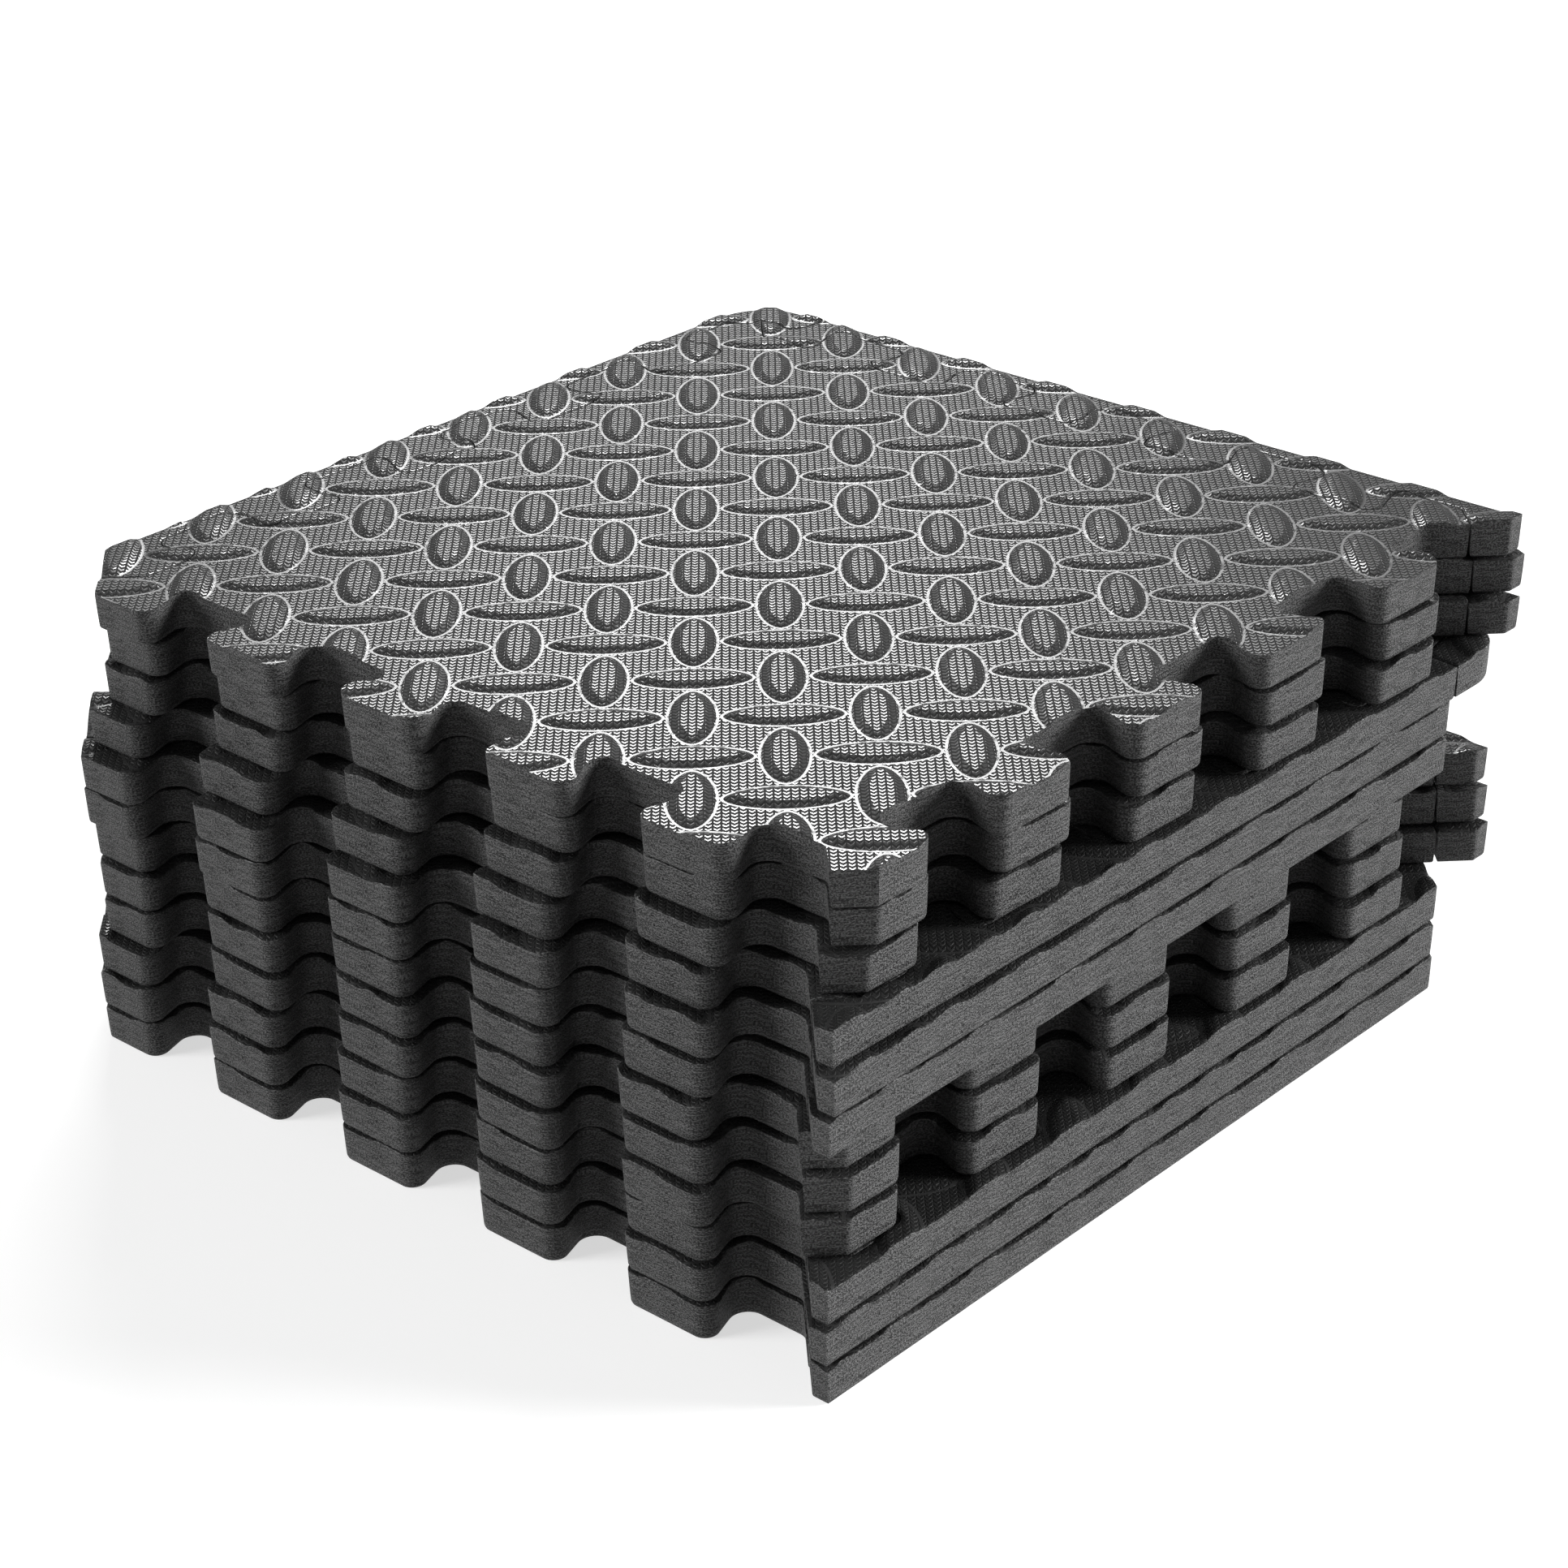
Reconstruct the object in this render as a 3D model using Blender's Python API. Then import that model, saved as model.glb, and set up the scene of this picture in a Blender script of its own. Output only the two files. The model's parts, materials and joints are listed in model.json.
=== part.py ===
"""Stack of interlocking foam blocking mats with their clip-on border strips.

Twelve square mats lie on each other. Every mat has a row of dovetail teeth along
each of its four sides, the same seen from every side, so any mat keys into any
other. A border strip fills the notches of one side and leaves a straight edge.
World frame: +Z up, the stack's front faces -Y, its left side faces -X, and the
origin is on the floor under the middle of the whole stack's outline.
"""
from math import acos, atan2, cos, pi, radians, sin, tan

import bmesh
import bpy
from mathutils import Matrix, Vector

# Mat outline, in metres
TEETH_PER_SIDE = 5
TOOTH_PITCH = 0.061
TOOTH_DEPTH = 0.020
TOOTH_WIDTH = TOOTH_PITCH / 2
DOVETAIL = 0.0033
TOOTH_FILLET = 0.005
FILLET_STEPS = 2
CHAMFER_END = 0.0088

# Heights and clearances
FOAM_THICKNESS = 0.0127
CLEARANCE = 0.0003

# Border strips
BORDER_WIDTH = 0.017
WRAP_RADIUS = 0.020
WRAP_STEPS = 5
END_CUT = 0.014

# Looks
FOAM_GREY = (0.045, 0.045, 0.048)
FOAM_ROUGHNESS = 0.75
SHARP_ANGLE = radians(35)

# Limit on how far a sharp corner moves when an outline is inset
MITRE_LIMIT = 0.3

MAT_SIDE = TEETH_PER_SIDE * TOOTH_PITCH
HALF_DEPTH = TOOTH_DEPTH / 2

# A side's own corner points, along and out from the mat's mean corner: the foot of
# the slanted corner flank and its tip, which is where the next mat or strip starts
FLANK_FOOT = (HALF_DEPTH, -HALF_DEPTH)
FLANK_TIP = (-0.0006, 0.0006)

# The seam between a border's end and the neighbour that wraps round the corner, in
# the neighbour's own coordinates, from the flank's tip outwards
SEAM = [(-0.003, -0.012), (-0.007, -0.015), (-BORDER_WIDTH, -0.016)]

LAYER_PITCH = FOAM_THICKNESS + CLEARANCE
MM = 0.001
FRONT, RIGHT, BACK = "front", "right", "back"
QUARTER_TURNS = {FRONT: 0, RIGHT: 1, BACK: 2}

# How each mat was put down, from the floor up: shift to the right, shift to the
# back (both in millimetres), turn in degrees, and the sides that carry a border
STACK = [
    (-11.4, 3.6, 0.4, (FRONT, BACK)),
    (-12.0, 3.4, 0.4, (FRONT, BACK)),
    (-10.9, 3.6, 0.4, (FRONT, BACK)),
    (-10.7, -0.8, -0.8, (RIGHT, BACK)),
    (-9.6, 0.6, -0.5, (RIGHT, BACK)),
    (-8.6, 2.2, -0.6, (RIGHT, BACK)),
    (-8.8, 4.8, 0.6, (FRONT, BACK)),
    (-8.9, 4.3, 0.9, (FRONT, BACK)),
    (-4.0, 4.5, 0.1, (FRONT, RIGHT)),
    (0.3, 0.0, -0.9, (RIGHT, BACK)),
    (3.2, 0.6, -0.5, (RIGHT, BACK)),
    (0.0, 0.0, 0.0, (RIGHT, BACK)),
]


def rounded(corners):
    """Turn (along, out, radius) corners into points, with an arc at each radius."""
    points = []
    count = len(corners)
    for index, (x, y, radius) in enumerate(corners):
        here = Vector((x, y))
        if radius == 0:
            points.append(here)
            continue
        before = (Vector(corners[index - 1][:2]) - here).normalized()
        after = (Vector(corners[(index + 1) % count][:2]) - here).normalized()
        half_turn = (pi - acos(before.dot(after))) / 2
        centre = here + (before + after).normalized() * radius / cos(half_turn)
        reach = radius * tan(half_turn)
        first = here + before * reach - centre
        last = here + after * reach - centre
        start = atan2(first.y, first.x)
        sweep = (atan2(last.y, last.x) - start + pi) % (2 * pi) - pi
        steps = WRAP_STEPS if radius == WRAP_RADIUS else FILLET_STEPS
        for step in range(steps + 1):
            angle = start + sweep * step / steps
            points.append(centre + Vector((cos(angle), sin(angle))) * radius)
    return points


def teeth_corners():
    """Corners of one side's teeth, from the corner chamfer to the last notch's root."""
    top, root = HALF_DEPTH, -HALF_DEPTH
    corners = [(CHAMFER_END, top, 0)]
    for tooth in range(TEETH_PER_SIDE):
        left = tooth * TOOTH_PITCH
        right = left + TOOTH_WIDTH
        if tooth:
            corners.append((left + DOVETAIL, root, TOOTH_FILLET))
            corners.append((left - DOVETAIL, top, TOOTH_FILLET))
        corners.append((right + DOVETAIL, top, TOOTH_FILLET))
        corners.append((right - DOVETAIL, root, TOOTH_FILLET))
    return corners


def mat_outline():
    """Outline of a mat about its centre, counter-clockwise from the front left."""
    corners = []
    for quarter in range(4):
        turn = Matrix.Rotation(quarter * pi / 2, 2)
        side = [(*FLANK_FOOT, TOOTH_FILLET), (*FLANK_TIP, 0)] + teeth_corners()
        for along, out, radius in side:
            place = turn @ Vector((along - MAT_SIDE / 2, -out - MAT_SIDE / 2))
            corners.append((place.x, place.y, radius))
    return rounded(corners)


def next_side(along, out):
    """A point given on the next side, in this side's coordinates."""
    return MAT_SIDE + out, -along


def border_outline(wraps_start, meets_wrap):
    """Outline of a border strip on the front side of a mat that is centred at zero."""
    inner = [(*FLANK_TIP, 0)] + teeth_corners()
    inner.append((*next_side(*FLANK_FOOT), TOOTH_FILLET))
    inner.append((*next_side(*FLANK_TIP), 0))
    if meets_wrap:
        end = [(*next_side(*point), 0) for point in SEAM]
    else:
        end = [(MAT_SIDE - END_CUT, BORDER_WIDTH, 0)]
    if wraps_start:
        corner = [(-BORDER_WIDTH, BORDER_WIDTH, WRAP_RADIUS)]
        start = [(along, out, 0) for along, out in reversed(SEAM)]
    else:
        corner = [(-HALF_DEPTH, BORDER_WIDTH, 0)]
        start = [(-HALF_DEPTH, HALF_DEPTH, 0)]
    corners = inner + end + corner + start
    placed = [(a - MAT_SIDE / 2, -o - MAT_SIDE / 2, r) for a, o, r in corners]
    return inset(rounded(placed), CLEARANCE)


def signed_area(points):
    total = 0
    for index, here in enumerate(points):
        total += points[index - 1].cross(here)
    return total / 2


def inset(points, distance):
    """Move every edge of a closed outline inwards by a distance."""
    inward = 1 if signed_area(points) > 0 else -1
    moved = []
    count = len(points)
    for index, here in enumerate(points):
        before = (here - points[index - 1]).normalized()
        after = (points[(index + 1) % count] - here).normalized()
        normal_before = Vector((-before.y, before.x)) * inward
        normal_after = Vector((-after.y, after.x)) * inward
        middle = (normal_before + normal_after).normalized()
        share = max(middle.dot(normal_before), MITRE_LIMIT)
        moved.append(here + middle * distance / share)
    return moved


def slab_mesh(name, outline, material):
    """Extrude a closed outline upwards by the foam's thickness."""
    mesh = bpy.data.meshes.new(name)
    form = bmesh.new()
    if signed_area(outline) < 0:
        outline = outline[::-1]
    bottom = [form.verts.new((point.x, point.y, 0)) for point in outline]
    face = form.faces.new(bottom)
    lifted = bmesh.ops.extrude_face_region(form, geom=[face])["geom"]
    raised = [item for item in lifted if isinstance(item, bmesh.types.BMVert)]
    bmesh.ops.translate(form, verts=raised, vec=(0, 0, FOAM_THICKNESS))
    bmesh.ops.recalc_face_normals(form, faces=form.faces)
    form.to_mesh(mesh)
    form.free()
    mesh.materials.append(material)
    mesh.shade_smooth()
    mesh.set_sharp_from_angle(angle=SHARP_ANGLE)
    return mesh


def foam_material(name):
    material = bpy.data.materials.new(name)
    material.use_nodes = True
    shader = material.node_tree.nodes["Principled BSDF"]
    shader.inputs["Base Color"].default_value = (*FOAM_GREY, 1)
    shader.inputs["Roughness"].default_value = FOAM_ROUGHNESS
    shader.inputs["Metallic"].default_value = 0
    return material


def add_object(name, mesh, parent):
    piece = bpy.data.objects.new(name, mesh)
    bpy.context.scene.collection.objects.link(piece)
    piece.parent = parent
    return piece


def build_stack():
    """Lay the mats and their borders on each other and centre the whole stack."""
    mat_foam = foam_material("mat_foam")
    border_foam = foam_material("border_foam")
    mat_mesh = slab_mesh("mat", mat_outline(), mat_foam)
    strip_meshes = {}
    for wraps in (False, True):
        for meets in (False, True):
            outline = border_outline(wraps, meets)
            strip_meshes[wraps, meets] = slab_mesh("border", outline, border_foam)

    stack = add_object("stack", None, None)
    pieces = []
    for level, (shift_right, shift_back, turn, borders) in enumerate(STACK):
        mat = add_object(f"mat_{level + 1:02d}", mat_mesh, stack)
        mat.location = (shift_right * MM, shift_back * MM, level * LAYER_PITCH)
        mat.rotation_euler.z = radians(turn)
        pieces.append(mat)
        turns = [QUARTER_TURNS[side] for side in borders]
        for side in borders:
            quarter = QUARTER_TURNS[side]
            mesh = strip_meshes[quarter - 1 in turns, quarter + 1 in turns]
            strip = add_object(f"border_{level + 1:02d}_{side}", mesh, mat)
            strip.rotation_euler.z = quarter * pi / 2
            pieces.append(strip)

    bpy.context.view_layer.update()
    corners = []
    for piece in pieces:
        corners.extend(piece.matrix_world @ vertex.co for vertex in piece.data.vertices)
    for axis in (0, 1):
        values = [corner[axis] for corner in corners]
        stack.location[axis] = -(min(values) + max(values)) / 2


for leftover in list(bpy.data.objects):
    bpy.data.objects.remove(leftover)
build_stack()
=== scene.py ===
"""Looks of a stack of interlocking foam mats: moulded tops, cut sides, studio light.

Every mat and border strip is one mesh that stands for its CAD solid. Its outline is
the solid's own with finer arcs, its top carries the moulded lens pattern, and its
sides lean in a little towards the underside, as cut foam does. Lengths are in metres.
"""

import json
from math import acos, atan2, cos, pi, radians, sin, tan

import bpy
import numpy as np
from mathutils import Matrix, Vector, kdtree
from mathutils.geometry import delaunay_2d_cdt


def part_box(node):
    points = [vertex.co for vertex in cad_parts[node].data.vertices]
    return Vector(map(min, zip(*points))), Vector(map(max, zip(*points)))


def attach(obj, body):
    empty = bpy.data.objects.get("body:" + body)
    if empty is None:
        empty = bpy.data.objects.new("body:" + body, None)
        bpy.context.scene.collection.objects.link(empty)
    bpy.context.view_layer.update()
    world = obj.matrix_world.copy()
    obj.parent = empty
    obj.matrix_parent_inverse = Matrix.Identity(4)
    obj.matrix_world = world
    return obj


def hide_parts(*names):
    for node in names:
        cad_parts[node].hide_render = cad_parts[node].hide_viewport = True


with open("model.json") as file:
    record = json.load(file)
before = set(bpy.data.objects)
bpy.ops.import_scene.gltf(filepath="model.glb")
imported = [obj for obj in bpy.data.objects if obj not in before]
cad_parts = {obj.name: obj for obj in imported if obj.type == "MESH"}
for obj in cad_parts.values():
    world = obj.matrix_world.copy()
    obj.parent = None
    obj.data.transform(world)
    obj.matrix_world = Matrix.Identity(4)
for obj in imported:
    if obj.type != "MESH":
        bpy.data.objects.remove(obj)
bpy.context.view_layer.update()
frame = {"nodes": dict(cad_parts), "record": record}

MM = 0.001

# Outline of a mat and its borders, as the solids have it
TEETH_PER_SIDE = 5
TOOTH_PITCH = 61 * MM
TOOTH_DEPTH = 20 * MM
TOOTH_WIDTH = TOOTH_PITCH / 2
DOVETAIL = 3.3 * MM
TOOTH_FILLET = 5 * MM
CAD_FILLET_STEPS = 2
FILLET_STEPS = 9
CLEARANCE = 0.3 * MM
BORDER_WIDTH = 17 * MM
WRAP_RADIUS = 20 * MM
WRAP_STEPS = 14
MAT_SIDE = TEETH_PER_SIDE * TOOTH_PITCH
HALF_DEPTH = TOOTH_DEPTH / 2
FLANK_FOOT = (HALF_DEPTH, -HALF_DEPTH)
FLANK_TIP = (-0.6 * MM, 0.6 * MM)
SEAM = [(-3 * MM, -12 * MM), (-7 * MM, -15 * MM), (-BORDER_WIDTH, -16 * MM)]
CHAMFER_END = 8.8 * MM
END_CUT = 14 * MM
QUARTER_TURNS = {"front": 0, "right": 1, "back": 2}

# Limit on how far a sharp corner moves when an outline is inset
MITRE_LIMIT = 0.3

# The moulded pattern: lenses on a square lattice along the mat's diagonals, turned
# a little, every second one crosswise, each with a smooth flat rim round it
LATTICE = 26.2 * MM
LATTICE_TURN = radians(-1.84)
LENS_HALF_LENGTH = 17.4 * MM
LENS_HALF_WIDTH = 6.8 * MM
LENS_POINT = 0.56
LENS_HEIGHT = 1.15 * MM
LENS_SLOPE = 3.1 * MM
RIM_WIDTH = 1.0 * MM
TOP_LATTICE_ORIGIN = (5.8 * MM, 10.1 * MM)

# Edges of a cut piece: the pressed-down lip, and the rings of a side from the top
# down, each as its share of the side's height and its lean inwards in millimetres
LIP = 0.2 * MM
SIDE_RINGS = [(0.93, 0.02), (0.6, 0.16), (0.3, 0.3), (0.09, 0.45), (0.03, 0.75), (0.0, 1.3)]

# Mesh spacing: the top mat, the outer band of the others and their hidden middle
TOP_SPACING = 1.1 * MM
BAND_SPACING = 1.7 * MM
CORE_SPACING = 3.4 * MM
BAND_DEPTH = 26 * MM
RING_POINTS = 31
CREASE_REACH = MAT_SIDE * 0.76

# Shares of the spacing: between staggered rows, and the room kept round the outline's
# points and round the creases'
ROW_SHARE = 0.866
CLEAR_SHARE = 0.6
CREASE_CLEAR_SHARE = 0.3

# Edges sharper than this stay hard: where the lenses have creases, and elsewhere
CREASED = radians(13.5)
ROUNDED = radians(50)


# ---- outlines -------------------------------------------------------------------

def rounded(corners, steps):
    """Turn (x, y, radius) corners into points, with an arc at each radius."""
    points = []
    count = len(corners)
    for index, (x, y, radius) in enumerate(corners):
        here = Vector((x, y))
        if radius == 0:
            points.append(here)
            continue
        before = (Vector(corners[index - 1][:2]) - here).normalized()
        after = (Vector(corners[(index + 1) % count][:2]) - here).normalized()
        half_turn = (pi - acos(before.dot(after))) / 2
        centre = here + (before + after).normalized() * radius / cos(half_turn)
        reach = radius * tan(half_turn)
        first = here + before * reach - centre
        last = here + after * reach - centre
        start = atan2(first.y, first.x)
        sweep = (atan2(last.y, last.x) - start + pi) % (2 * pi) - pi
        arcs = WRAP_STEPS if radius == WRAP_RADIUS else steps
        for step in range(arcs + 1):
            angle = start + sweep * step / arcs
            points.append(centre + Vector((cos(angle), sin(angle))) * radius)
    return np.array([tuple(point) for point in points])


def teeth_corners():
    """Corners of one side's teeth, from the corner chamfer to the last notch's root."""
    top, root = HALF_DEPTH, -HALF_DEPTH
    corners = [(CHAMFER_END, top, 0)]
    for tooth in range(TEETH_PER_SIDE):
        left = tooth * TOOTH_PITCH
        right = left + TOOTH_WIDTH
        if tooth:
            corners.append((left + DOVETAIL, root, TOOTH_FILLET))
            corners.append((left - DOVETAIL, top, TOOTH_FILLET))
        corners.append((right + DOVETAIL, top, TOOTH_FILLET))
        corners.append((right - DOVETAIL, root, TOOTH_FILLET))
    return corners


def mat_outline(steps):
    """Outline of a mat about its centre, counter-clockwise from the front left."""
    corners = []
    for quarter in range(4):
        turn = Matrix.Rotation(quarter * pi / 2, 2)
        side = [(*FLANK_FOOT, TOOTH_FILLET), (*FLANK_TIP, 0)] + teeth_corners()
        for along, out, radius in side:
            place = turn @ Vector((along - MAT_SIDE / 2, -out - MAT_SIDE / 2))
            corners.append((place.x, place.y, radius))
    return rounded(corners, steps)


def next_side(along, out):
    """A point given on the next side, in this side's coordinates."""
    return MAT_SIDE + out, -along


def border_outline(wraps_start, meets_wrap):
    """Outline of a border strip on the front side of a mat that is centred at zero."""
    inner = [(*FLANK_TIP, 0)] + teeth_corners()
    inner.append((*next_side(*FLANK_FOOT), TOOTH_FILLET))
    inner.append((*next_side(*FLANK_TIP), 0))
    if meets_wrap:
        end = [(*next_side(*point), 0) for point in SEAM]
    else:
        end = [(MAT_SIDE - END_CUT, BORDER_WIDTH, 0)]
    if wraps_start:
        corner = [(-BORDER_WIDTH, BORDER_WIDTH, WRAP_RADIUS)]
        start = [(along, out, 0) for along, out in reversed(SEAM)]
    else:
        corner = [(-HALF_DEPTH, BORDER_WIDTH, 0)]
        start = [(-HALF_DEPTH, HALF_DEPTH, 0)]
    corners = inner + end + corner + start
    placed = [(a - MAT_SIDE / 2, -o - MAT_SIDE / 2, r) for a, o, r in corners]
    outline = inset(rounded(placed, FILLET_STEPS), CLEARANCE)
    return outline[::-1] if signed_area(outline) < 0 else outline


def signed_area(points):
    after = np.roll(points, -1, axis=0)
    return float((points[:, 0] * after[:, 1] - points[:, 1] * after[:, 0]).sum()) / 2


def inward_normals(points):
    """Mitred inward normals at the corners of a closed outline."""
    edges = np.roll(points, -1, axis=0) - points
    edges /= np.linalg.norm(edges, axis=1, keepdims=True)
    normals = np.column_stack([-edges[:, 1], edges[:, 0]])
    if signed_area(points) < 0:
        normals = -normals
    middle = normals + np.roll(normals, 1, axis=0)
    middle /= np.linalg.norm(middle, axis=1, keepdims=True)
    share = np.maximum((middle * normals).sum(axis=1), MITRE_LIMIT)
    return middle / share[:, None]


def inset(points, distance):
    """Move a closed outline inwards by a distance."""
    return points + inward_normals(points) * distance


def resampled(points, spacing):
    """Split the long edges of a closed outline."""
    made = []
    for here, after in zip(points, np.roll(points, -1, axis=0)):
        count = max(1, round(float(np.linalg.norm(after - here)) / spacing))
        for step in range(count):
            made.append(here + (after - here) * step / count)
    return np.array(made)


# ---- the moulded pattern --------------------------------------------------------

def lens_width(along):
    """Half-width of a lens at places along it, and its steepness there."""
    share = np.clip(1 - (along / LENS_HALF_LENGTH) ** 2, 1e-6, 1)
    width = LENS_HALF_WIDTH * share ** LENS_POINT
    steepness = 2 * LENS_POINT * LENS_HALF_WIDTH * np.abs(along) / LENS_HALF_LENGTH ** 2
    return width, steepness * share ** (LENS_POINT - 1)


def lens_rise(along, across):
    """0 on a lens's outline and outside it, 1 from the foot of its flat top."""
    width, steepness = lens_width(along)
    depth = (width - np.abs(across)) / np.sqrt(1 + steepness ** 2)
    depth = np.where(np.abs(along) < LENS_HALF_LENGTH, depth, 0)
    return np.clip(depth / LENS_SLOPE, 0, 1)


def lens_rings():
    """Points along a lens's outline and along the edge of its flat top."""
    bends = np.linspace(-pi / 2, pi / 2, RING_POINTS)
    along = LENS_HALF_LENGTH * np.sin(bends)
    width, steepness = lens_width(along)
    top = width - LENS_SLOPE * np.sqrt(1 + steepness ** 2)
    rings = []
    for places, reach in ((along, width), (along[top > 0], top[top > 0])):
        for side in (-1, 1):
            rings.append(np.column_stack([places, side * reach]))
    return np.concatenate(rings)


def lens_coordinates(u, v):
    """Places along and across the nearest upright lens and the nearest level one."""
    column = np.round(u / LATTICE)
    row = column + 2 * np.round((v / LATTICE - column) / 2)
    upright = (v - row * LATTICE, u - column * LATTICE)
    row = np.round(v / LATTICE)
    column = row + 1 + 2 * np.round((u / LATTICE - row - 1) / 2)
    level = (u - column * LATTICE, v - row * LATTICE)
    return upright, level


def pattern_height(u, v):
    """Height of the moulded top above its ground, without the fine knurl."""
    rise = np.zeros_like(u)
    for along, across in lens_coordinates(u, v):
        rise = np.maximum(rise, lens_rise(along, across))
    return LENS_HEIGHT * rise


def pattern_creases(reach):
    """Points on the creases of all lenses within reach of a mat's middle."""
    rings = lens_rings()
    steps = int(reach / LATTICE) + 1
    creases = []
    for column in range(-steps, steps + 1):
        for row in range(-steps, steps + 1):
            ring = rings if (column + row) % 2 else rings[:, ::-1]
            creases.append(ring + (column * LATTICE, row * LATTICE))
    u, v = np.concatenate(creases).T
    angle = LATTICE_TURN - pi / 4
    x = u * cos(angle) - v * sin(angle) + TOP_LATTICE_ORIGIN[0]
    y = u * sin(angle) + v * cos(angle) + TOP_LATTICE_ORIGIN[1]
    return np.column_stack([x, y])


def pattern_coordinates(points, origin, turn):
    """Lattice coordinates of points: u to the front right, v to the back right."""
    angle = turn - pi / 4 + LATTICE_TURN
    offset = points - origin
    u = offset[:, 0] * cos(angle) + offset[:, 1] * sin(angle)
    v = -offset[:, 0] * sin(angle) + offset[:, 1] * cos(angle)
    return u, v


# ---- flat meshes inside an outline ------------------------------------------------

def inside(points, outline):
    """Even-odd test of many points against a closed outline."""
    result = np.zeros(len(points), bool)
    x, y = points[:, 0], points[:, 1]
    for (x0, y0), (x1, y1) in zip(outline, np.roll(outline, -1, axis=0)):
        crosses = (y0 > y) != (y1 > y)
        if y0 != y1:
            result ^= crosses & (x < (x1 - x0) * (y - y0) / (y1 - y0) + x0)
    return result


def grid(low, high, spacing):
    """Staggered rows of points over a rectangle."""
    rows = []
    for index, y in enumerate(np.arange(low[1], high[1], spacing * ROW_SHARE)):
        xs = np.arange(low[0] + (index % 2) * spacing / 2, high[0], spacing)
        rows.append(np.column_stack([xs, np.full(len(xs), y)]))
    return np.concatenate(rows)


def near_points(points, others, reach):
    """Whether each point has one of the others within reach."""
    tree = kdtree.KDTree(len(others))
    for index, (x, y) in enumerate(others):
        tree.insert((x, y, 0), index)
    tree.balance()
    return np.array([tree.find((x, y, 0))[2] < reach for x, y in points])


def triangulated(outline, spacing, core_spacing, creases):
    """Vertices and triangles that fill an outline, whose points come first."""
    low, high = outline.min(axis=0), outline.max(axis=0)
    points = grid(low, high, spacing)
    points = points[inside(points, outline)]
    points = points[~near_points(points, outline, spacing * CLEAR_SHARE)]
    if core_spacing != spacing:
        points = points[near_points(points, outline, BAND_DEPTH)]
        core = grid(low, high, core_spacing)
        core = core[inside(core, outline)]
        core = core[~near_points(core, outline, BAND_DEPTH + spacing * CLEAR_SHARE)]
        points = np.concatenate([points, core])
    if creases is not None:
        creases = creases[inside(creases, outline)]
        creases = creases[~near_points(creases, outline, spacing * CREASE_CLEAR_SHARE)]
        points = points[~near_points(points, creases, spacing * CLEAR_SHARE)]
        points = np.concatenate([points, creases])
    coords = [Vector(point) for point in np.concatenate([outline, points])]
    count = len(outline)
    edges = [(index, (index + 1) % count) for index in range(count)]
    found = delaunay_2d_cdt(coords, edges, [], 1, 1e-7)
    vertices = np.array([tuple(vertex) for vertex in found[0]])
    triangles = np.array([face[:3] for face in found[2]])
    order = np.full(len(vertices), -1)
    taken = set()
    for made, originals in enumerate(found[3]):
        for original in originals:
            if original < count and original not in taken:
                order[made] = original
                taken.add(original)
    assert len(taken) == count
    rest = np.nonzero(order < 0)[0]
    order[rest] = count + np.arange(len(rest))
    placed = np.zeros_like(vertices)
    placed[order] = vertices
    triangles = order[triangles]
    a, b, c = (placed[triangles[:, k]] for k in range(3))
    turn = (b - a)[:, 0] * (c - a)[:, 1] - (b - a)[:, 1] * (c - a)[:, 0]
    triangles[turn < 0] = triangles[turn < 0][:, ::-1]
    return placed, triangles


class Blank:
    """A piece's flat shape, which all pieces of its kind share."""

    def __init__(self, outline, spacing, core_spacing, creases=None):
        self.rim = resampled(outline, spacing)
        self.lip = inset(self.rim, LIP)
        self.cap, self.triangles = triangulated(self.lip, spacing, core_spacing, creases)
        self.inward = inward_normals(self.rim)
        steps = np.linalg.norm(np.roll(self.rim, -1, axis=0) - self.rim, axis=1)
        self.travel = np.concatenate([[0], np.cumsum(steps)])


def turned(points, angle, centre):
    """Turn flat points about zero and then shift them."""
    rotation = np.array([[cos(angle), -sin(angle)], [sin(angle), cos(angle)]])
    return points @ rotation.T + centre


# ---- pieces -----------------------------------------------------------------------

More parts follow.
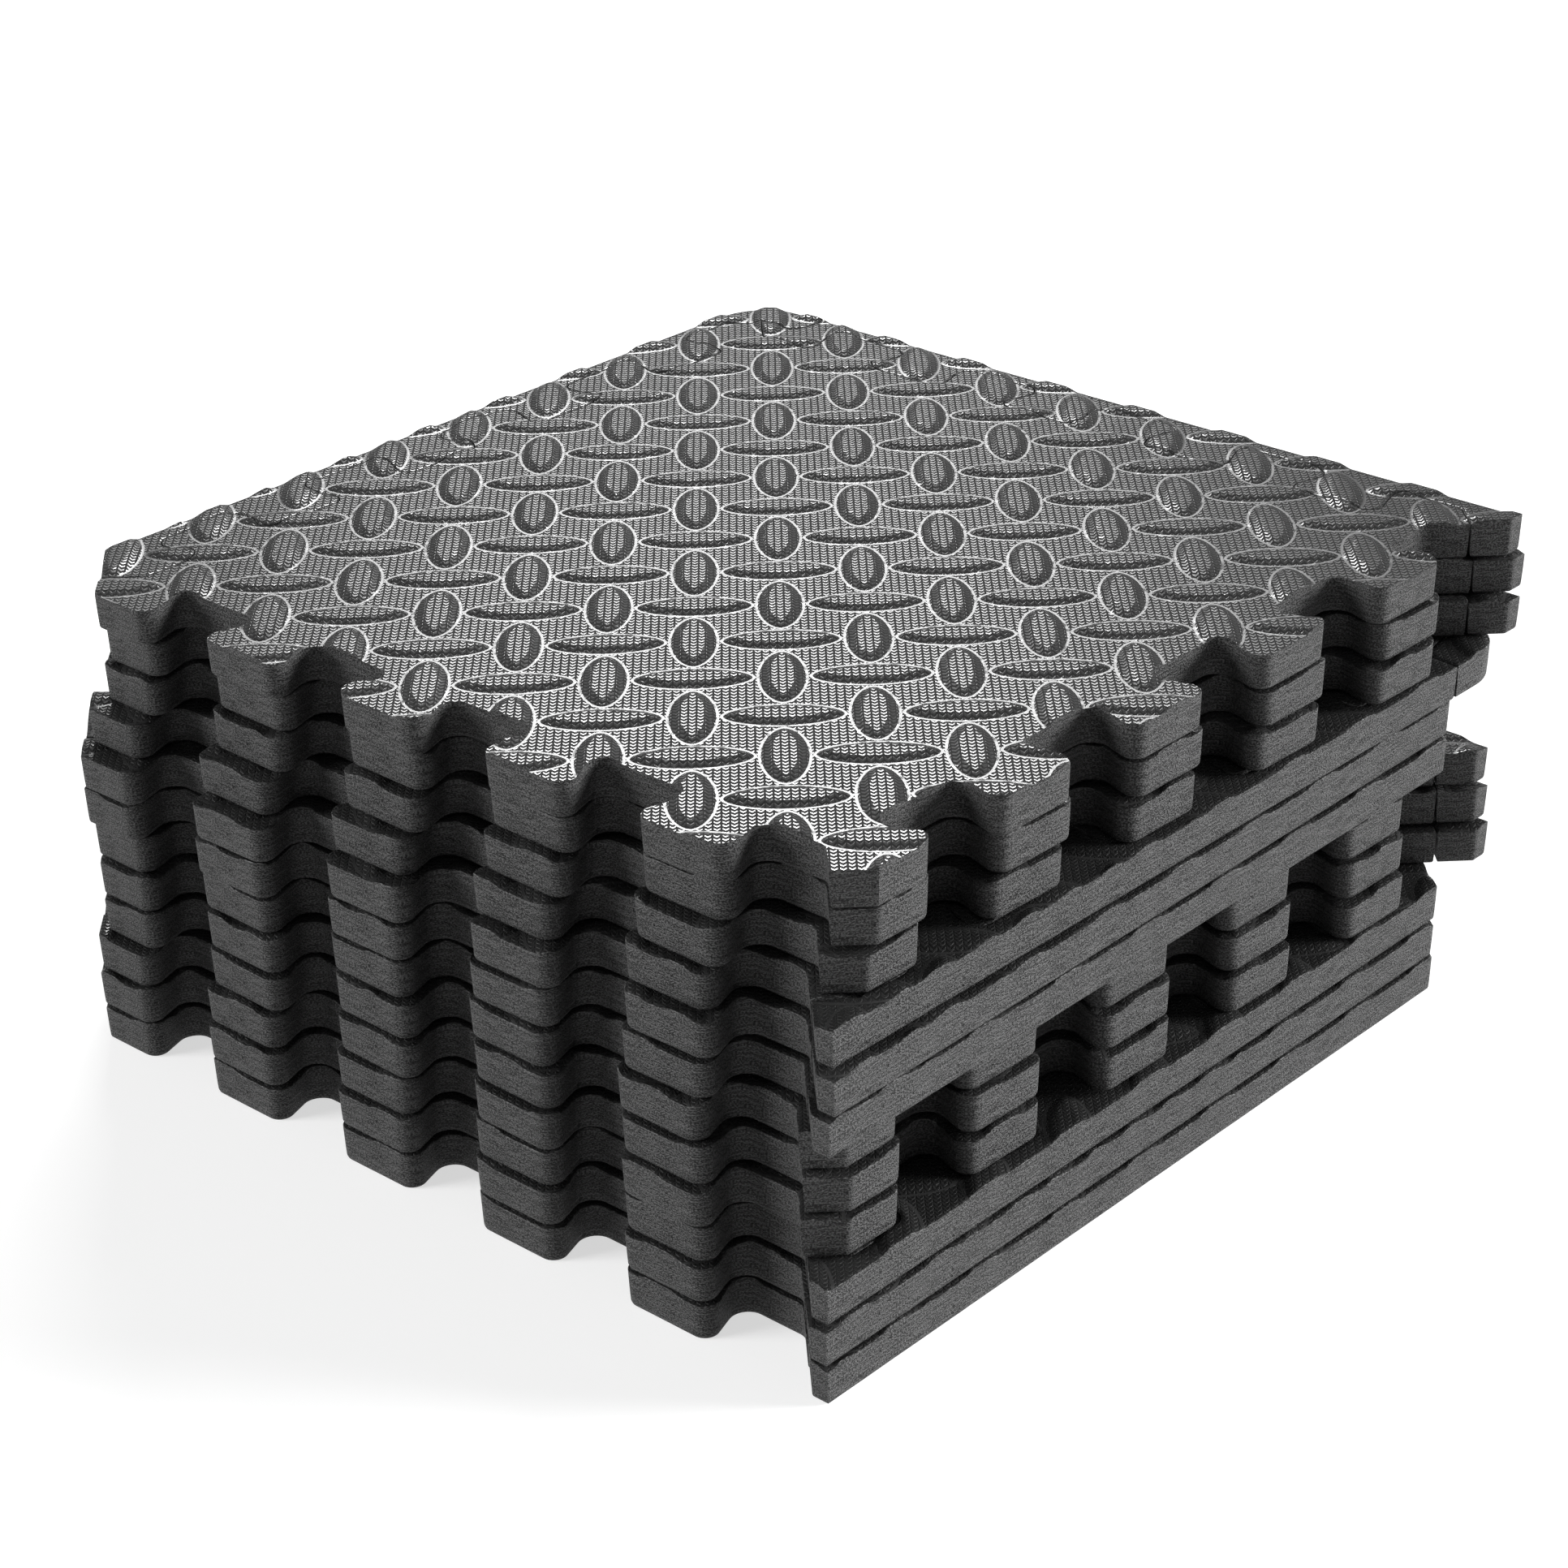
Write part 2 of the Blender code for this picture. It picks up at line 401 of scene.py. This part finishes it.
def foam_piece(
    name, blank, angle, centre, bottom, top, origin, pattern_turn, sharp, materials
):
    """Mesh of one mat or border: moulded cap, cut sides and a flat underside."""
    rim = turned(blank.rim, angle, centre)
    inward = turned(blank.inward, angle, (0, 0))
    cap = turned(blank.cap, angle, centre)
    ground = top - LENS_HEIGHT
    cap_u, cap_v = pattern_coordinates(cap, origin, pattern_turn)
    rim_u, rim_v = pattern_coordinates(rim, origin, pattern_turn)
    cap_z = ground + pattern_height(cap_u, cap_v)
    rim_z = ground + pattern_height(rim_u, rim_v) - LIP
    count = len(rim)

    layers = [np.column_stack([cap, cap_z]), np.column_stack([rim, rim_z])]
    for share, lean in SIDE_RINGS:
        ring = rim + inward * lean * MM
        layers.append(np.column_stack([ring, bottom + (rim_z - bottom) * share]))
    vertices = np.concatenate(layers)

    starts = [0] + [len(cap) + index * count for index in range(len(SIDE_RINGS) + 1)]
    faces = [tuple(triangle) for triangle in blank.triangles]
    cap_faces = len(faces)
    here = np.arange(count)
    after = (here + 1) % count
    for upper, lower in zip(starts, starts[1:]):
        quads = np.column_stack([upper + after, upper + here, lower + here, lower + after])
        faces.extend(map(tuple, quads))
    side_faces = len(faces) - cap_faces
    faces.append(tuple(starts[-1] + here[::-1]))

    mesh = bpy.data.meshes.new(name)
    mesh.from_pydata(vertices, [], faces)
    for material in materials:
        mesh.materials.append(material)
    indices = np.zeros(len(faces), np.int32)
    # The lip takes the material with the painted highlight
    indices[cap_faces:cap_faces + count] = 1
    indices[cap_faces + count:cap_faces + side_faces] = 2
    indices[-1] = 3
    mesh.polygons.foreach_set("material_index", indices)

    cap_uv = np.column_stack([cap_u, cap_v])[blank.triangles.ravel()]
    travel = blank.travel
    side_uv = []
    for upper, lower in zip(starts, starts[1:]):
        upper_z = vertices[upper:upper + count, 2] - bottom
        lower_z = vertices[lower:lower + count, 2] - bottom
        quad = np.stack([
            np.column_stack([travel[1:], upper_z[after]]),
            np.column_stack([travel[:-1], upper_z]),
            np.column_stack([travel[:-1], lower_z]),
            np.column_stack([travel[1:], lower_z[after]]),
        ], axis=1)
        side_uv.append(quad.reshape(-1, 2))
    base = vertices[starts[-1] + here[::-1]][:, :2]
    uv = np.concatenate([cap_uv, *side_uv, base])
    layer = mesh.uv_layers.new(name="pattern")
    layer.data.foreach_set("uv", uv.astype(np.float32).ravel())
    mesh.shade_smooth()
    mesh.set_sharp_from_angle(angle=sharp)
    mesh.validate()
    piece = bpy.data.objects.new(name, mesh)
    bpy.context.scene.collection.objects.link(piece)
    return piece


def quarter_moment(points):
    """Angle of an outline's fourfold moment about its middle."""
    places = points[:, 0] + 1j * points[:, 1]
    return float(np.angle((places ** 4).sum()))


def mat_place(node):
    """Centre and turn of a mat, read from its solid."""
    low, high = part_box(node)
    centre = np.array([(low.x + high.x) / 2, (low.y + high.y) / 2])
    places = [(v.co.x, v.co.y) for v in frame["nodes"][node].data.vertices]
    corners = np.unique(np.round(np.array(places) - centre, 6), axis=0)
    reference = quarter_moment(mat_outline(CAD_FILLET_STEPS))
    turn = (quarter_moment(corners) - reference + pi) % (2 * pi) - pi
    return centre, turn / 4


# ---- materials --------------------------------------------------------------------

class Nodes:
    """Short calls for the nodes of one material."""

    def __init__(self, name):
        self.material = bpy.data.materials.new(name)
        self.material.use_nodes = True
        self.tree = self.material.node_tree
        self.shader = self.tree.nodes["Principled BSDF"]

    def link(self, value, socket):
        if isinstance(value, (int, float)):
            socket.default_value = value
        else:
            self.tree.links.new(value, socket)

    def math(self, operation, *values):
        node = self.tree.nodes.new("ShaderNodeMath")
        node.operation = operation
        for index, value in enumerate(values):
            self.link(value, node.inputs[index])
        return node.outputs[0]

    def smooth(self, value, low, high):
        """0 below low, 1 above high, smooth between."""
        node = self.tree.nodes.new("ShaderNodeMapRange")
        node.interpolation_type = "SMOOTHSTEP"
        self.link(value, node.inputs["Value"])
        node.inputs["From Min"].default_value = low
        node.inputs["From Max"].default_value = high
        return node.outputs["Result"]

    def uv(self):
        node = self.tree.nodes.new("ShaderNodeUVMap")
        node.uv_map = "pattern"
        return node.outputs["UV"]

    def split(self, vector):
        node = self.tree.nodes.new("ShaderNodeSeparateXYZ")
        self.link(vector, node.inputs[0])
        return node.outputs["X"], node.outputs["Y"]

    def noise(self, vector, stretch, detail=2.0, roughness=0.5):
        """Noise whose features are 1 / stretch wide along each axis."""
        scale = self.tree.nodes.new("ShaderNodeMapping")
        scale.inputs["Scale"].default_value = stretch
        self.link(vector, scale.inputs["Vector"])
        node = self.tree.nodes.new("ShaderNodeTexNoise")
        node.inputs["Scale"].default_value = 1
        node.inputs["Detail"].default_value = detail
        node.inputs["Roughness"].default_value = roughness
        self.link(scale.outputs[0], node.inputs["Vector"])
        return node.outputs["Fac"]

    def position(self):
        return self.tree.nodes.new("ShaderNodeTexCoord").outputs["Object"]

    def bump(self, height, distance):
        node = self.tree.nodes.new("ShaderNodeBump")
        node.inputs["Distance"].default_value = distance
        node.inputs["Strength"].default_value = 1.0
        self.link(height, node.inputs["Height"])
        self.tree.links.new(node.outputs[0], self.shader.inputs["Normal"])

    def grey(self, value):
        """Use a number as the base colour."""
        node = self.tree.nodes.new("ShaderNodeCombineColor")
        for channel in ("Red", "Green", "Blue"):
            self.link(value, node.inputs[channel])
        self.tree.links.new(node.outputs[0], self.shader.inputs["Base Color"])


# The moulded skin: chevron knurls between the rims, with painted shade in the knurls'
# valleys and a painted highlight on the rims
KNURL_PITCH = 2.38 * MM
KNURL_ROW = 2.05 * MM
KNURL_HEIGHT = 0.2 * MM
RIDGE_FLANK = (0.3, 0.65)
GROOVE_FLANK = (0.72, 0.98)
MASK_EDGE = 0.15 * MM
CREST_ROUGHNESS = 0.28
VALLEY_ROUGHNESS = 0.95
RIM_ROUGHER = 0.08
# Crests are lighter than the valleys, and the valleys' lower grey is painted shade
TOP_GREY = 0.008
# Extra grey on the rims is a painted highlight
RIM_HIGHLIGHT_GREY = 0.01
PATCH_GREY = 0.01
VALLEY_SHADE_GREY = 0.002
SKIN_GRAIN = 2500
SKIN_GRAIN_SHARE = 0.1
PATCHES = 30

# The cut sides, with noise given as features per metre along and up the side
SIDE_GRAIN = (1500, 2400, 1)
SIDE_STREAKS = (120, 1300, 1)
SIDE_PORES = (500, 700, 1)
GRAIN_SHARE = 0.8
PORE_EDGE = (0.76, 0.82)
PORE_DEPTH = 1.2
# The pores are painted darker, as painted shade in the holes
PORE_SHADE_GREY = 0.03
SIDE_BUMP = 0.9 * MM
SIDE_TONE = (0.44, 0.58)
SIDE_TONE_GREY = 0.085
SIDE_GREY = 0.006
DARKEST_GREY = 0.01

# The skin's cut edge with its painted highlight, the underside and the floor
EDGE_TONE = (0.45, 0.75)
EDGE_HIGHLIGHT_GREY = 0.1
EDGE_BUMP = 0.15 * MM
PLAIN_GRAIN = 900
UNDER_GREY = 0.06
UNDER_GRAIN_GREY = 0.03
UNDER_BUMP = 0.1 * MM
FLOOR_GREY = 0.5
FLOOR_GLOW = 0.62


def lens_mask(nodes, along, across, margin):
    """1 inside a lens that is widened by a margin, 0 outside."""
    share = nodes.math("DIVIDE", along, LENS_HALF_LENGTH + margin)
    share = nodes.math("SUBTRACT", 1.0, nodes.math("MULTIPLY", share, share))
    width = nodes.math("POWER", nodes.math("MAXIMUM", share, 0.0), LENS_POINT)
    width = nodes.math("MULTIPLY", width, LENS_HALF_WIDTH + margin)
    depth = nodes.math("SUBTRACT", width, nodes.math("ABSOLUTE", across))
    return nodes.smooth(depth, 0.0, MASK_EDGE)


def nearest(nodes, value, base, parity):
    """Place relative to the nearest lattice line whose index has base's parity."""
    steps = nodes.math("DIVIDE", value, LATTICE)
    shifted = nodes.math("SUBTRACT", nodes.math("SUBTRACT", steps, base), parity)
    half = nodes.math("ROUND", nodes.math("MULTIPLY", shifted, 0.5))
    line = nodes.math("ADD", base, parity)
    line = nodes.math("ADD", line, nodes.math("MULTIPLY", half, 2.0))
    return nodes.math("MULTIPLY", nodes.math("SUBTRACT", steps, line), LATTICE)


def rim_mask(nodes, u, v):
    """1 on the flat rims round the lenses."""
    total = 0.0
    for first, second, parity in ((u, v, 0.0), (v, u, 1.0)):
        steps = nodes.math("DIVIDE", first, LATTICE)
        index = nodes.math("ROUND", steps)
        across = nodes.math("MULTIPLY", nodes.math("SUBTRACT", steps, index), LATTICE)
        along = nearest(nodes, second, index, parity)
        outer = lens_mask(nodes, along, across, RIM_WIDTH)
        inner = lens_mask(nodes, along, across, 0)
        ring = nodes.math("SUBTRACT", outer, inner)
        total = nodes.math("MAXIMUM", total, ring)
    return total


def moulded_foam():
    """Moulded skin: rows of small chevrons, smooth on the rims round the lenses, with
    painted shade in the valleys and a painted highlight on the rims.
    """
    nodes = Nodes("moulded_foam")
    u, v = nodes.split(nodes.uv())
    rim = rim_mask(nodes, u, v)
    aside = nodes.math("PINGPONG", u, KNURL_PITCH / 2)
    row = nodes.math("SUBTRACT", v, aside)
    ridge = nodes.math("DIVIDE", nodes.math("PINGPONG", row, KNURL_ROW / 2), KNURL_ROW / 2)
    column = nodes.math("DIVIDE", aside, KNURL_PITCH / 2)
    column = nodes.math("SUBTRACT", 1.0, nodes.smooth(column, *GROOVE_FLANK))
    ridge = nodes.math("MULTIPLY", nodes.smooth(ridge, *RIDGE_FLANK), column)
    crest = nodes.math("MAXIMUM", ridge, rim)
    grain = nodes.noise(nodes.position(), [SKIN_GRAIN] * 3)
    grain = nodes.math("MULTIPLY", grain, SKIN_GRAIN_SHARE)
    nodes.bump(nodes.math("ADD", crest, grain), KNURL_HEIGHT)
    # Base colour: a painted highlight on the rims, crests lighter than the valleys, whose
    # darker grey is painted shade, and random patches
    tone = nodes.math("MULTIPLY", rim, RIM_HIGHLIGHT_GREY)
    tone = nodes.math("ADD", tone, nodes.math("MULTIPLY", crest, TOP_GREY))
    patch = nodes.noise(nodes.position(), [PATCHES] * 3)
    tone = nodes.math("ADD", tone, nodes.math("MULTIPLY", patch, PATCH_GREY))
    nodes.grey(nodes.math("ADD", tone, VALLEY_SHADE_GREY))
    rough = nodes.math("MULTIPLY", crest, CREST_ROUGHNESS - VALLEY_ROUGHNESS)
    rough = nodes.math("ADD", rough, VALLEY_ROUGHNESS)
    rough = nodes.math("ADD", rough, nodes.math("MULTIPLY", rim, RIM_ROUGHER))
    nodes.link(rough, nodes.shader.inputs["Roughness"])
    nodes.shader.inputs["Specular IOR Level"].default_value = 0.8
    return nodes.material


def cut_foam():
    """Cut side: fine grain drawn out along the cut, and a few open pores, darkened as
    painted shade.
    """
    nodes = Nodes("cut_foam")
    uv = nodes.uv()
    grain = nodes.noise(uv, SIDE_GRAIN, detail=3.0, roughness=0.7)
    streak = nodes.noise(uv, SIDE_STREAKS)
    pore = nodes.smooth(nodes.noise(uv, SIDE_PORES, detail=0.0), *PORE_EDGE)
    grain = nodes.math("MULTIPLY", grain, GRAIN_SHARE)
    mix = nodes.math("ADD", grain, nodes.math("MULTIPLY", streak, 1 - GRAIN_SHARE))
    height = nodes.math("SUBTRACT", mix, nodes.math("MULTIPLY", pore, PORE_DEPTH))
    nodes.bump(height, SIDE_BUMP)
    tone = nodes.math("MULTIPLY", nodes.smooth(mix, *SIDE_TONE), SIDE_TONE_GREY)
    # Painted shade: the pores are darkened
    tone = nodes.math("SUBTRACT", tone, nodes.math("MULTIPLY", pore, PORE_SHADE_GREY))
    nodes.grey(nodes.math("MAXIMUM", nodes.math("ADD", tone, SIDE_GREY), DARKEST_GREY))
    nodes.shader.inputs["Roughness"].default_value = 0.6
    nodes.shader.inputs["Specular IOR Level"].default_value = 0.2
    return nodes.material


def skin_edge_highlight():
    """The rounded edge of the moulded skin, where it was cut, painted light grey as a
    painted highlight along the top edges.
    """
    nodes = Nodes("skin_edge_highlight")
    grain = nodes.noise(nodes.position(), [PLAIN_GRAIN] * 3)
    nodes.bump(grain, EDGE_BUMP)
    # A painted highlight: the edge is much lighter than the foam
    nodes.grey(nodes.math("MULTIPLY", nodes.smooth(grain, *EDGE_TONE), EDGE_HIGHLIGHT_GREY))
    nodes.shader.inputs["Roughness"].default_value = 0.5
    nodes.shader.inputs["Specular IOR Level"].default_value = 0.8
    return nodes.material


def under_foam():
    """Underside: a plain skin with a faint grain."""
    nodes = Nodes("under_foam")
    grain = nodes.noise(nodes.uv(), (PLAIN_GRAIN, PLAIN_GRAIN, 1), detail=3.0)
    nodes.bump(grain, UNDER_BUMP)
    tone = nodes.math("MULTIPLY", grain, UNDER_GRAIN_GREY)
    nodes.grey(nodes.math("ADD", tone, UNDER_GREY))
    nodes.shader.inputs["Roughness"].default_value = 0.65
    return nodes.material


def floor_material():
    """Matt pale floor that glows a little, so that it stays pale in the shadows."""
    nodes = Nodes("floor_white")
    nodes.shader.inputs["Base Color"].default_value = (FLOOR_GREY,) * 3 + (1,)
    nodes.shader.inputs["Emission Color"].default_value = (1, 1, 1, 1)
    nodes.shader.inputs["Emission Strength"].default_value = FLOOR_GLOW
    nodes.shader.inputs["Roughness"].default_value = 0.9
    nodes.shader.inputs["Specular IOR Level"].default_value = 0.0
    return nodes.material


# ---- the stack --------------------------------------------------------------------

foams = [moulded_foam(), skin_edge_highlight(), cut_foam(), under_foam()]
body_of_node = {}
for body, members in frame["record"]["behaviour"]["bodies"].items():
    for node in members:
        body_of_node[node] = body
mat_nodes = sorted(node for node in frame["nodes"] if node.startswith("mat_"))
top_mat = mat_nodes[-1]
fine_mat = Blank(
    mat_outline(FILLET_STEPS), TOP_SPACING, TOP_SPACING, pattern_creases(CREASE_REACH)
)
plain_mat = Blank(mat_outline(FILLET_STEPS), BAND_SPACING, CORE_SPACING)
border_blanks = {}
random = np.random.default_rng(7)

for mat_node in mat_nodes:
    level = mat_node[-2:]
    centre, turn = mat_place(mat_node)
    on_top = mat_node == top_mat
    if on_top:
        origin = centre + np.array(TOP_LATTICE_ORIGIN)
    else:
        origin = centre + random.uniform(-LATTICE, LATTICE, 2)
    prefix = f"border_{level}_"
    sides = {node[len(prefix):]: node for node in frame["nodes"] if node.startswith(prefix)}
    parts = [(mat_node, fine_mat if on_top else plain_mat, 0, origin)]
    turns = [QUARTER_TURNS[side] for side in sides]
    for side in sorted(sides):
        quarter = QUARTER_TURNS[side]
        kind = (quarter - 1 in turns, quarter + 1 in turns)
        spacing = TOP_SPACING if on_top else BAND_SPACING
        if (kind, on_top) not in border_blanks:
            border_blanks[kind, on_top] = Blank(border_outline(*kind), spacing, spacing)
        start = origin if on_top else centre + random.uniform(-LATTICE, LATTICE, 2)
        parts.append((sides[side], border_blanks[kind, on_top], quarter, start))
    for node, blank, quarter, start in parts:
        low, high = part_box(node)
        angle = turn + quarter * pi / 2
        sharp = CREASED if blank is fine_mat else ROUNDED
        piece = foam_piece(
            f"foam_{node}", blank, angle, centre, low.z, high.z, start, turn, sharp, foams
        )
        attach(piece, body_of_node[node])
        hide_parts(node)


# ---- floor, camera and light --------------------------------------------------------

CAMERA_FROM_TOP_MAT = (-781.6 * MM, -723.0 * MM, 604.5 * MM)
CAMERA_RIGHT = (0.67301, -0.73929, -0.02243)
CAMERA_UP = (0.34407, 0.28609, 0.8943)
LENS_LENGTH = 83.92
STACK_MIDDLE = (0, 0, 0.1)
FLOOR_REACH = 12
WORLD_STRENGTH = 0.2


def add_floor():
    """A large plain floor under the stack."""
    mesh = bpy.data.meshes.new("floor")
    low, high = -FLOOR_REACH, FLOOR_REACH
    corners = [(low, low, 0), (high, low, 0), (high, high, 0), (low, high, 0)]
    mesh.from_pydata(corners, [], [(0, 1, 2, 3)])
    mesh.materials.append(floor_material())
    floor = bpy.data.objects.new("floor", mesh)
    bpy.context.scene.collection.objects.link(floor)


def direction(azimuth, elevation):
    """Where a light stands: azimuth 0 is in front at -Y, and 90 is to the right."""
    a, e = radians(azimuth), radians(elevation)
    return Vector((sin(a) * cos(e), -cos(a) * cos(e), sin(e)))


def add_sun(name, azimuth, elevation, strength, spread, glossy):
    """A soft, far light, which may be kept out of glossy reflections."""
    data = bpy.data.lights.new(name, "SUN")
    data.energy = strength
    data.angle = radians(spread)
    sun = bpy.data.objects.new(name, data)
    source = direction(azimuth, elevation)
    sun.rotation_euler = (-source).to_track_quat("-Z", "Y").to_euler()
    sun.visible_glossy = glossy
    bpy.context.scene.collection.objects.link(sun)


def add_softbox(name, azimuth, elevation, distance, size, radiance):
    """A rectangular light that faces the stack."""
    data = bpy.data.lights.new(name, "AREA")
    data.shape = "RECTANGLE"
    data.size, data.size_y = size
    data.energy = radiance * pi * size[0] * size[1]
    light = bpy.data.objects.new(name, data)
    source = direction(azimuth, elevation)
    light.location = source * distance + Vector(STACK_MIDDLE)
    light.rotation_euler = source.to_track_quat("Z", "Y").to_euler()
    bpy.context.scene.collection.objects.link(light)


def add_camera():
    """Camera at the photograph's angle, placed from the top mat's middle."""
    centre, _ = mat_place(top_mat)
    data = bpy.data.cameras.new("camera")
    data.sensor_width = 36
    data.lens = LENS_LENGTH
    data.clip_start = 0.05
    data.clip_end = 50
    camera = bpy.data.objects.new("camera", data)
    right, up = Vector(CAMERA_RIGHT), Vector(CAMERA_UP)
    back = right.cross(up)
    basis = Matrix((right, up, back)).transposed()
    place = Vector((*centre, 0)) + Vector(CAMERA_FROM_TOP_MAT)
    camera.matrix_world = Matrix.Translation(place) @ basis.to_4x4()
    bpy.context.scene.collection.objects.link(camera)
    bpy.context.scene.camera = camera


add_floor()
add_camera()
add_softbox("back_softbox", 134.5, 35, 4.0, (1.15, 0.9), 31.0)
add_sun("right_light", 50, 12, 11.0, 30, False)
add_sun("right_sheen", 50, 12, 1.0, 30, True)
add_sun("left_light", -128, 15, 3.4, 30, False)
add_sun("left_sheen", -128, 15, 1.0, 30, True)
world = bpy.data.worlds.new("studio")
world.use_nodes = True
background = world.node_tree.nodes["Background"]
background.inputs["Color"].default_value = (1, 1, 1, 1)
background.inputs["Strength"].default_value = WORLD_STRENGTH
bpy.context.scene.world = world
bpy.context.scene.view_settings.view_transform = "Standard"
